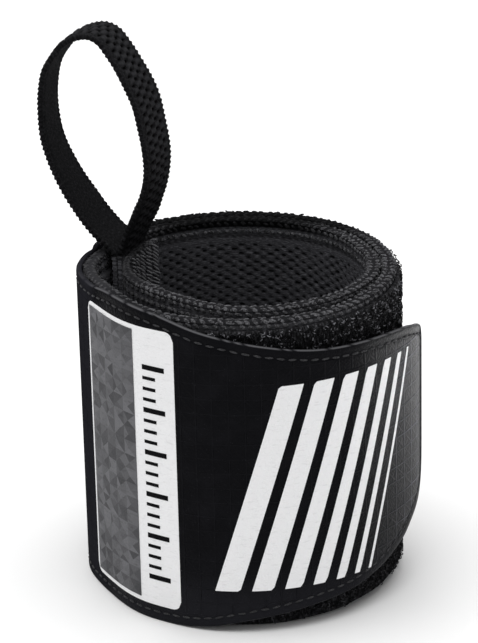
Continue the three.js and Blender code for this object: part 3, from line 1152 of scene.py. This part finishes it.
class WRAP_OT_tab_print(Operator):
    """Prints the tab: a framed label with a faceted grey half and a scale, and slanted bars"""

    bl_idname = "wrist_wrap.tab_print"
    bl_label = "Tab Print"

    def execute(self, context):
        start, split, end = (
            TAB_LINE.length_at(angle) for angle in (LABEL_START, LABEL_SPLIT, LABEL_END)
        )

        def label_edges(x):
            cut = corner_cut(min(x - start, end - x), LABEL_CORNER)
            return LABEL_BOTTOM + cut, LABEL_TOP - cut

        label = film("label_white", start, end, label_edges, 0.06 * MM, 0.6 * MM)
        lay(label, TAB_LINE, white_finish(), "tab_face")
        lay(self.facets(start + LABEL_FRAME, split), TAB_LINE, grey_finish(), "tab_face")
        scale = joined("label_scale", self.ticks(split + 2.6 * MM))
        lay(scale, TAB_LINE, tick_finish(), "tab_face")
        bars = joined("printed_bars", self.bars(sizes().bar_count))
        lay(bars, TAB_LINE, white_finish(), "tab_face")
        return {"FINISHED"}

    def ticks(self, start):
        """Short marks up the label, every fourth one longer."""
        made = []
        for index, z in enumerate(steps(11 * MM, 63 * MM, 2.6 * MM)):
            reach, half = (3.4 * MM, 0.4 * MM) if index % 4 else (5.8 * MM, 0.6 * MM)
            ends = (z - half, z + half)
            made.append(film("tick", start, start + reach, lambda x, ends=ends: ends, 0.12 * MM))
        return made

    def facets(self, start, end):
        """Low four-sided peaks in rows, each side with its own shade."""
        pitch = sizes().facet_pitch
        bottom, top = LABEL_BOTTOM + LABEL_FRAME, LABEL_TOP - LABEL_FRAME
        across, up = round((end - start) / pitch), round((LABEL_TOP - LABEL_BOTTOM) / pitch)
        deselect()
        bpy.ops.mesh.primitive_grid_add(x_subdivisions=across, y_subdivisions=up, size=1)
        piece = new_piece("label_facets")
        for vertex in piece.data.vertices:
            x = start + (end - start) * (vertex.co.x + 0.5)
            vertex.co = (x, -TAB_THICKNESS, bottom + (top - bottom) * (vertex.co.y + 0.5))
        with editing(piece):
            bpy.ops.mesh.extrude_region_move(TRANSFORM_OT_translate={"value": (0, -0.22 * MM, 0)})
            bpy.ops.mesh.poke(offset=0.3 * MM)
            bpy.ops.mesh.select_all(action="SELECT")
            bpy.ops.mesh.normals_make_consistent(inside=False)
        shades = piece.data.color_attributes.new("Shade", "FLOAT_COLOR", "CORNER")
        draw = random.Random(11)
        for face in piece.data.polygons:
            shade = draw.uniform(0, 1)
            for corner in face.loop_indices:
                shades.data[corner].color = (shade, shade, shade, 1)
        return piece

    def bars(self, count):
        """Slanted bars that grow thinner from left to right."""
        at, right = TAB_LINE.length_at(BARS_START), TAB_LINE.length_at(BARS_END)
        room = right - at - BARS_LEAN - BARS_GAP * (count - 1)
        steepness = (BARS_TOP - BARS_BOTTOM) / BARS_LEAN
        made = []
        for weight in range(count, 0, -1):
            width = room * weight / (count * (count + 1) / 2)

            def edges(x, feet=(at + width, at)):
                rises = [max((x - foot) * steepness, 0) for foot in feet]
                return [min(BARS_BOTTOM + rise, BARS_TOP) for rise in rises]

            start, end = at + 0.05 * MM, at + width + BARS_LEAN - 0.05 * MM
            made.append(film("bar", start, end, edges, 0.08 * MM, 0.7 * MM))
            at += width + BARS_GAP
        return made


class WRAP_OT_hook_panel(Operator):
    """Winds the closure's hook side under the tab's free end, with its rows of hooks"""

    bl_idname = "wrist_wrap.hook_panel"
    bl_label = "Hook Panel"

    def execute(self, context):
        backing = 0.35 * MM
        spacing = sizes().hook_spacing

        def edges(x):
            bottom, top = tab_edges(HOOK_LINE.angle_at(x))
            return bottom + HOOK_INSET, top - 0.3 * HOOK_INSET

        def section(x):
            bottom, top = edges(x)
            levels = [bottom, (bottom + top) / 2, top]
            return [(backing, z) for z in levels] + [(0, z) for z in reversed(levels)]

        panel = strip("hook_strip", steps(0, HOOK_LINE.length, 1.5 * MM), section)
        deselect()
        bpy.ops.mesh.primitive_cone_add(vertices=5, radius1=0.26 * MM, radius2=0.14 * MM, depth=0.5 * MM)
        unit = new_piece("hook")
        with editing(unit):
            bpy.ops.mesh.select_all(action="DESELECT")
            bpy.ops.mesh.select_mode(type="FACE")
        max(unit.data.polygons, key=lambda face: face.center.z).select = True
        bpy.ops.object.mode_set(mode="EDIT")
        bpy.ops.mesh.extrude_region_move(TRANSFORM_OT_translate={"value": (0.22 * MM, 0, 0.05 * MM)})
        bpy.ops.object.mode_set(mode="OBJECT")
        unit.data.transform(Matrix.Rotation(-math.pi / 2, 4, "X"))
        places = []
        for x in steps(spacing, HOOK_LINE.length - spacing, spacing):
            bottom, top = edges(x)
            for z in steps(bottom + spacing, top - spacing, spacing):
                places.append(Matrix.Translation((x, backing + 0.2 * MM, z)))
        panel = joined("hook_strip", [panel, copies("hooks", unit, places)])
        lay(panel, HOOK_LINE, hook_finish(), "hook_strip", "hook_panel")
        return {"FINISHED"}


class LoopPath:
    """The thumb loop's middle line through the air, with its width's direction along it."""

    def __init__(self):
        outward, beside = polar(1, LOOP_ANGLE), polar(1, LOOP_ANGLE + 90)
        seat = band_outer(LOOP_ANGLE) + SEAM_GAP + WEB_THICKNESS / 2
        behind = WEB_THICKNESS + SEAM_GAP
        rows = [(-behind, -LOOP_SEWN, 0), (-behind, -WEB_THICKNESS, 0)]
        rows += [(inward * LOOP_SPREAD, up * LOOP_HEIGHT, twist) for inward, up, twist in LOOP_LINE]
        rows += [(0, -WEB_THICKNESS, 0), (0, -LOOP_SEWN, 0)]
        middles = [
            AXIS + outward * (seat - inward) + Vector((0, 0, BAND_WIDTH + up))
            for inward, up, twist in rows
        ]
        widths = [Matrix.Rotation(math.radians(row[2]), 3, "Z") @ beside for row in rows]
        self.middles = smooth_line(middles, middles, 24)
        self.widths = smooth_line(middles, widths, 24)
        self.lengths = lengths_along(self.middles)
        self.length = self.lengths[-1]

    def place(self, spot):
        """Where a spot of the flat strip goes."""
        last = len(self.lengths) - 1
        after = min(max(bisect.bisect_right(self.lengths, spot.x), 1), last)
        before, near, far, beyond = (
            self.middles[min(max(index, 0), last)] for index in range(after - 2, after + 2)
        )
        share = (spot.x - self.lengths[after - 1]) / (self.lengths[after] - self.lengths[after - 1])
        along = (far - before).lerp(beyond - near, share).normalized()
        width = self.widths[after - 1].lerp(self.widths[after], share)
        width = (width - along * width.dot(along)).normalized()
        return near.lerp(far, share) + width * spot.z + along.cross(width) * spot.y


def smooth_line(knots, values, parts):
    """Values on a smooth curve whose pace follows the distances between the knots."""
    made = []
    last = len(knots) - 1
    for index in range(last):
        spots = [max(index - 1, 0), index, index + 1, min(index + 2, last)]
        spans = [max(math.sqrt((knots[b] - knots[a]).length), 1e-9) for a, b in zip(spots, spots[1:])]
        p0, p1, p2, p3 = (values[spot] for spot in spots)
        if index == 0:
            p0, spans[0] = p1 * 2 - p2, spans[1]
        if index == last - 1:
            p3, spans[2] = p2 * 2 - p1, spans[1]
        d0, d1, d2 = spans
        out = ((p1 - p0) / d0 - (p2 - p0) / (d0 + d1) + (p2 - p1) / d1) * d1
        into = ((p2 - p1) / d1 - (p3 - p1) / (d1 + d2) + (p3 - p2) / d2) * d1
        made += [curve_between(p1, p2, out, into, part / parts) for part in range(parts)]
    return made + [values[-1]]


class WRAP_OT_thumb_loop(Operator):
    """Bends the ribbed webbing into the thumb loop that stands up from the band's inner end"""

    bl_idname = "wrist_wrap.thumb_loop"
    bl_label = "Thumb Loop"

    def execute(self, context):
        pitch = sizes().rib_pitch
        path = LoopPath()
        half = WEB_WIDTH / 2
        border = 1.9 * MM
        tooth = 1.25 * MM
        column_width = (WEB_WIDTH - 2 * border) / 4

        def from_tip(x):
            return min(x, path.length - x)

        def loose(x):
            """All of the relief on the free webbing, and little of it where it is sewn down."""
            return eased([(LOOP_SEWN - 2 * MM, 0.3), (LOOP_SEWN, 1)], from_tip(x))

        def teeth(x):
            return math.cos(2 * math.pi * x / tooth)

        def outer_relief(x, z):
            if half - abs(z) < border:
                return 0.1 * MM * teeth(x + 0.6 * abs(z)) * loose(x)
            column = math.floor((z + half - border) / column_width)
            along = (x / pitch + 0.5 * (column % 2) + 0.5) % 1 - 0.5
            aside = z + half - border - (column + 0.5) * column_width
            pore = bell(along * pitch, 0.33 * MM) * bell(aside, 0.75 * MM)
            return loose(x) * (0.16 * MM - 0.14 * MM * math.cos(2 * math.pi * along) - 0.55 * MM * pore)

        def inner_relief(x, z):
            groove = bell(half - abs(z) - 1.4 * MM, 0.3 * MM)
            slants = math.cos(2 * math.pi * (x / (1.1 * MM) + abs(abs(z) - half / 2) / (1.3 * MM)))
            return (0.08 if from_tip(x) > LOOP_SEWN else 0.02) * MM * slants - 0.25 * MM * groove

        def section(x):
            reach = half - 0.25 * MM + 0.2 * MM * teeth(x) * loose(x)
            levels = steps(-reach, reach, 2 * reach / 30)
            outer = [(-WEB_THICKNESS / 2 - outer_relief(x, z), z) for z in levels]
            inner = [(WEB_THICKNESS / 2 + inner_relief(x, z), z) for z in reversed(levels)]
            ends = [(share * WEB_THICKNESS, reach + 0.2 * MM) for share in (-0.3, 0.3)]
            return outer + ends + inner + [(y, -z) for y, z in reversed(ends)]

        def painted_shade_highlight_sewn(x, y, z):
            # painted shade in the pores and along both edges, and a painted highlight on the crests
            relief = outer_relief(x, z) if y < 0 else 0
            if half - abs(z) < 0.3 * MM:
                relief = -0.06 * MM
            height = relief / (0.3 * MM)
            return clamped(-height), clamped(height), clamped((LOOP_SEWN - from_tip(x)) / (1.5 * MM))

        loop = strip("webbing_loop", steps(0, path.length, tooth / 4), section)
        keep_flat_map(loop)
        paint(loop, ("PaintedShade", "PaintedHighlight", "Sewn"), painted_shade_highlight_sewn)
        for vertex in loop.data.vertices:
            vertex.co = path.place(vertex.co)
        with editing(loop):
            bpy.ops.mesh.normals_make_consistent(inside=False)
        dress(loop, webbing_finish(), "webbing", "thumb_loop")
        return {"FINISHED"}


class WRAP_OT_loop_stitches(Operator):
    """Sews the thumb loop's root: columns of slanted threads down the band's inner end"""

    bl_idname = "wrist_wrap.loop_stitches"
    bl_label = "Loop Stitches"

    def execute(self, context):
        draw = random.Random(13)
        places = []
        for column, x in enumerate(steps(1.6 * MM, 12.4 * MM, 2.7 * MM)):
            lowest = BAND_WIDTH - (13.5 if column % 2 else 15) * MM
            for z in steps(lowest, BAND_WIDTH - 1.2 * MM, 0.95 * MM):
                jitter = draw.uniform(-0.25, 0.25) * MM
                turn = math.radians(34) + draw.uniform(-0.2, 0.2)
                places.append(stitch_place(x + jitter, 0.1 * MM, z + jitter, turn))
        stitches = copies("loop_stitches", grain(3.2, 0.6, 0.55), places)
        lay(stitches, BAND_LINE, thread_finish("root_thread", 4.2), "elastic_knit")
        return {"FINISHED"}


def lamp(name, kind, place, aim, power, **settings):
    """A light that faces a point."""
    light = bpy.data.lights.new(name, kind)
    light.energy = power
    for setting, value in settings.items():
        setattr(light, setting, value)
    made = placed(name, light)
    made.location = place
    made.rotation_euler = (Vector(aim) - Vector(place)).to_track_quat("-Z", "Y").to_euler()


class WRAP_OT_stage(Operator):
    """Sets the pale floor, the soft studio lights and the camera at the photograph's angle"""

    bl_idname = "wrist_wrap.stage"
    bl_label = "Stage"

    def execute(self, context):
        deselect()
        bpy.ops.mesh.primitive_plane_add(size=8)
        floor = new_piece("floor")
        floor.data.materials.append(floor_finish().material)

        world = bpy.data.worlds.new("studio")
        world.use_nodes = True
        background = world.node_tree.nodes["Background"]
        background.inputs["Color"].default_value = (1, 1, 1, 1)
        background.inputs["Strength"].default_value = 0.45
        context.scene.world = world
        context.scene.view_settings.view_transform = "Standard"
        lamp(
            "overhead_softbox", "AREA", (-0.1, 0.1, 1.3), (0, 0, 0.05), 26,
            shape="RECTANGLE", size=1.6, size_y=1.6,
        )
        lamp(
            "floor_pool", "SPOT", (0.36, 0.16, 0.8), (0.27, 0.1, 0), 140,
            spot_size=math.radians(24), spot_blend=0.7, shadow_soft_size=0.05,
        )

        elevation, roll = math.radians(CAMERA_ELEVATION), math.radians(CAMERA_ROLL)
        back = Vector((0, -math.cos(elevation), math.sin(elevation)))
        level = Vector((1, 0, 0))
        upright = Vector((0, math.sin(elevation), math.cos(elevation)))
        right = level * math.cos(roll) + upright * math.sin(roll)
        up = upright * math.cos(roll) - level * math.sin(roll)
        camera_data = bpy.data.cameras.new("camera")
        camera_data.sensor_width = SENSOR
        camera_data.lens = SENSOR * FOCAL_LENGTH / PICTURE_HEIGHT
        camera_data.clip_start = 0.01
        camera = placed("camera", camera_data)
        turn = Matrix((right, up, back)).transposed().to_4x4()
        camera.matrix_world = Matrix.Translation(AXIS + CAMERA_AIM + back * CAMERA_DISTANCE) @ turn
        context.scene.camera = camera
        return {"FINISHED"}


STEPS = (
    WRAP_OT_loop_stitches, WRAP_OT_elastic_band, WRAP_OT_pile_panel, WRAP_OT_hook_panel,
    WRAP_OT_tab_stitches, WRAP_OT_tab_print, WRAP_OT_closure_tab, WRAP_OT_thumb_loop, WRAP_OT_stage,
)


class WRAP_PT_panel(Panel):
    """Lists the wrap's sizes, its colours and its pieces"""

    bl_label = "Wrist Wrap"
    bl_space_type = "VIEW_3D"
    bl_region_type = "UI"
    bl_category = "Wrist Wrap"

    def draw(self, context):
        for group in (context.scene.wrist_wrap_sizes, context.scene.wrist_wrap_colours):
            box = self.layout.box()
            for name in group.__annotations__:
                box.prop(group, name)
        for step in STEPS:
            self.layout.operator(step.bl_idname)


CLASSES = (WrapSizes, WrapColours, *STEPS, WRAP_PT_panel)


def register():
    """Adds the classes and the scene's settings."""
    for cls in CLASSES:
        bpy.utils.register_class(cls)
    bpy.types.Scene.wrist_wrap_sizes = PointerProperty(type=WrapSizes)
    bpy.types.Scene.wrist_wrap_colours = PointerProperty(type=WrapColours)


def unregister():
    """Takes them away again."""
    del bpy.types.Scene.wrist_wrap_colours
    del bpy.types.Scene.wrist_wrap_sizes
    for cls in reversed(CLASSES):
        bpy.utils.unregister_class(cls)


def main():
    """Makes every piece in turn."""
    register()
    for step in STEPS:
        family, name = step.bl_idname.split(".")
        if getattr(getattr(bpy.ops, family), name)() != {"FINISHED"}:
            raise RuntimeError(f"{step.bl_label} was not finished")


if __name__ == "__main__":
    main()
